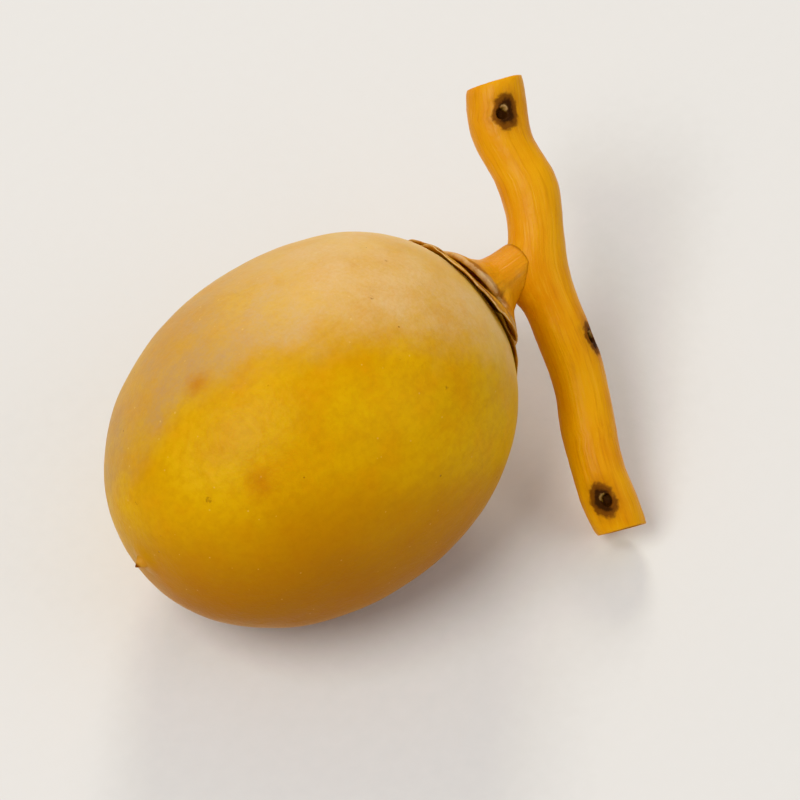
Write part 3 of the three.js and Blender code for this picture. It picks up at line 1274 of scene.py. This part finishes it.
# %% [markdown]
# ### The strand
#
# The strand is orange and smooth, with faint fibres along it. Its scars are nearly black, each
# with a pale stump, and its cut ends show pale flesh with darker dots where the fibres were cut.

# %% The strand's colours
STALK = {
    "gold": rgb(228, 160, 8),
    "orange": rgb(216, 138, 6),
    "dark fibre": rgb(182, 104, 12),
    "pale fibre": rgb(238, 184, 70),
    "halo": rgb(160, 90, 20),
    "scar": rgb(104, 58, 22),
    "pit": rgb(48, 25, 11),
    "stump": rgb(196, 160, 110),
    "rind": rgb(126, 76, 24),
    "flesh": rgb(216, 184, 116),
    "cut fibre": rgb(150, 100, 42),
    "stained flesh": rgb(176, 128, 62),
}
print("the strand has", len(STALK), "colours")

# %% The strand's scars and cut flesh
SCAR_OVAL = (1, 1, 0.72)


def oval_point(place):
    """A place on the strand in the straightened coordinates, with its height shortened."""
    return [part * scale for part, scale in zip(straighten(place), SCAR_OVAL)]


def scar_gaps(tree, place, straight_place):
    """How far the closest scar is, and how far the closest stump is, with ragged outlines."""
    oval_place = stretched(tree, straight_place, SCAR_OVAL)
    scar, stump = [], []
    for point, out in scars:
        stump_point = point + STRAND_UP * (0.3 * MM) + out * (0.1 * MM)
        scar.append(far_from(tree, oval_place, oval_point(point)))
        stump.append(far_from(tree, place, stump_point))
    wobble = times(tree, cloud(tree, place, 0.6, detail=4), 0.7 * MM)
    return [combine(tree, "ADD", closest(tree, gaps), wobble) for gaps in (scar, stump)]


def cut_flesh(tree, place, fibre_gap):
    return coats(tree, STALK, STALK["flesh"], [
        ("cut fibre", ramp(tree, fibre_gap, 0.34, 0.2), 0.75),
        ("stained flesh", patches(tree, place, 0.9, 0.4, 0.7, detail=4), 0.6),
    ])


print("the scars and the cut flesh are ready")

# %% The strand's finish
FIBRES_ALONG = (1, 1, 0.05)


def strand_finish():
    finish, tree, shader = new_finish("stalk_skin")
    place = object_place(tree)
    straight_place = attribute_of(tree, "straight")
    broad = patches(tree, stretched(tree, straight_place, (1, 1, 0.4)), 3, 0.35, 0.7)
    fibre_place = stretched(tree, straight_place, FIBRES_ALONG)
    fibres = cloud(tree, fibre_place, 0.28, detail=4, roughness=0.6)
    fibre_gap, _ = cells(tree, stretched(tree, straight_place, (1, 1, 0)), 0.36)
    scar_gap, stump_gap = scar_gaps(tree, place, straight_place)
    scar = ramp(tree, scar_gap, 1.55 * MM, 1.25 * MM)
    cut_share = attribute_of(tree, "cut", "Fac")
    cut = ramp(tree, cut_share, 0.45, 0.7)

    colour = coats(tree, STALK, STALK["gold"], [
        ("orange", broad, 1),
        ("dark fibre", ramp(tree, fibres, 0.5, 0.72), 0.32),
        ("pale fibre", ramp(tree, fibres, 0.45, 0.3), 0.3),
        ("halo", ramp(tree, scar_gap, 2.2 * MM, 1.2 * MM), 0.4),
        ("scar", scar, 0.9),
        ("pit", ramp(tree, scar_gap, 1.2 * MM, 0.9 * MM), 0.93),
        ("stump", ramp(tree, stump_gap, 0.75 * MM, 0.55 * MM), 0.8),
        ("rind", ramp(tree, cut_share, 0.2, 0.45), 0.7),
    ])
    colour = layer(tree, colour, cut_flesh(tree, place, fibre_gap), cut)
    tree.links.new(colour, shader.inputs["Base Color"])

    rough = combine(tree, "ADD", ramp(tree, fibres, 0.3, 0.7, 0.36, 0.48), times(tree, scar, 0.3))
    tree.links.new(rough, shader.inputs["Roughness"])
    set_inputs(shader, {"Specular IOR Level": 0.35})
    soft_flesh(shader, 0.12, 1.2)
    bumps(tree, shader, [
        (fibres, 0.07),
        (cloud(tree, place, 0.3), 0.03),
        (times(tree, cut, ramp(tree, fibre_gap, 0.45, 0.2)), 0.12),
    ])
    return finish


strand.data.materials.append(strand_finish())
print("the strand has", len(strand.data.materials[0].node_tree.nodes), "nodes")

# %% [markdown]
# ## The floor, the lights and the camera
#
# A plain pale floor catches the shadow. The camera looks down on the date from the side on which
# the photograph shows it, so the fruit rises to the right towards its cap. A long lens from half a
# metre away keeps its shape true.

# %% Floor
FLOOR_SIDE = 2
deselect_all()
bpy.ops.mesh.primitive_plane_add(size=FLOOR_SIDE)
floor = bpy.context.object
floor.name = "floor"
floor_finish, floor_tree, floor_shader = new_finish("floor_paper")
floor_grain = cloud(floor_tree, object_place(floor_tree), 1.2, detail=4)
floor_colour = layer(floor_tree, (0.72, 0.71, 0.69, 1), (0.77, 0.76, 0.74, 1), floor_grain)
floor_rough = ramp(floor_tree, floor_grain, 0.3, 0.7, 0.75, 0.9)
floor_tree.links.new(floor_colour, floor_shader.inputs["Base Color"])
floor_tree.links.new(floor_rough, floor_shader.inputs["Roughness"])
bumps(floor_tree, floor_shader, [(floor_grain, 0.02)])
floor.data.materials.append(floor_finish)
print("the floor is", FLOOR_SIDE, "m wide")

# %% Camera
CAMERA_LENS = 290
CAMERA_DISTANCE = 0.5
target = (cad_low + cad_high) / 2


def stand(thing, azimuth, elevation, distance):
    """Stands a camera or a light round the date, aimed at its middle. Azimuth 0 is at -Y."""
    azimuth, elevation = math.radians(azimuth), math.radians(elevation)
    away = Vector((
        math.sin(azimuth) * math.cos(elevation),
        -math.cos(azimuth) * math.cos(elevation),
        math.sin(elevation),
    ))
    thing.location = target + away * distance
    thing.rotation_euler = away.to_track_quat("Z", "Y").to_euler()
    bpy.context.scene.collection.objects.link(thing)


camera_data = bpy.data.cameras.new("camera")
camera_data.lens = CAMERA_LENS
camera_data.sensor_width = 36
camera_data.clip_start = 0.01
camera = bpy.data.objects.new("camera", camera_data)
stand(camera, -43, 58, CAMERA_DISTANCE)
bpy.context.scene.camera = camera
print("the camera is", CAMERA_DISTANCE, "m away, with a lens of", CAMERA_LENS, "mm")

# %% [markdown]
# Three soft round lights stand round the date: a key on its tip's side, a weaker fill, and a rim
# light behind it. The world adds a little bluish light from all round, which fills the shadows.

# %% Lights
# Each has a name, azimuth, elevation, distance and size in metres, power in watts, and colour.
LIGHTS = [
    ("key", -98, 58, 0.6, 0.36, 2.45, (1.0, 0.97, 0.92)),
    ("fill", 35, 35, 0.7, 0.5, 0.9, (1.0, 0.95, 0.88)),
    ("rim", 140, 30, 0.6, 0.2, 1.7, (1.0, 0.93, 0.82)),
]
for name, azimuth, elevation, distance, size, watts, colour in LIGHTS:
    light_data = bpy.data.lights.new(name, "AREA")
    light_data.shape = "DISK"
    light_data.size = size
    light_data.energy = watts
    light_data.color = colour
    stand(bpy.data.objects.new(name, light_data), azimuth, elevation, distance)

world = bpy.data.worlds.new("studio")
world.use_nodes = True
background = world.node_tree.nodes["Background"]
set_inputs(background, {"Color": (0.9, 0.93, 1.0, 1), "Strength": 0.4})
bpy.context.scene.world = world
bpy.context.scene.view_settings.view_transform = "Khronos PBR Neutral"
print("placed", len(LIGHTS), "lights")

# %% [markdown]
# ## Fasten the pieces to the solid model
#
# Every piece rides on the solid model's one body, and the solid that it stands for is hidden.

# %% Fasten the pieces
fastened = [
    (fruit, "fruit", "fruit_skin"),
    (calyx, "calyx", "dry_calyx"),
    (strand, "strand", "strand_skin"),
]
fastened += [(petal, "petals", "dry_petal") for petal in petals]
for piece, node, slot in fastened:
    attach(piece, "root")
    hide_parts(node)
print("fastened", len(fastened), "pieces")
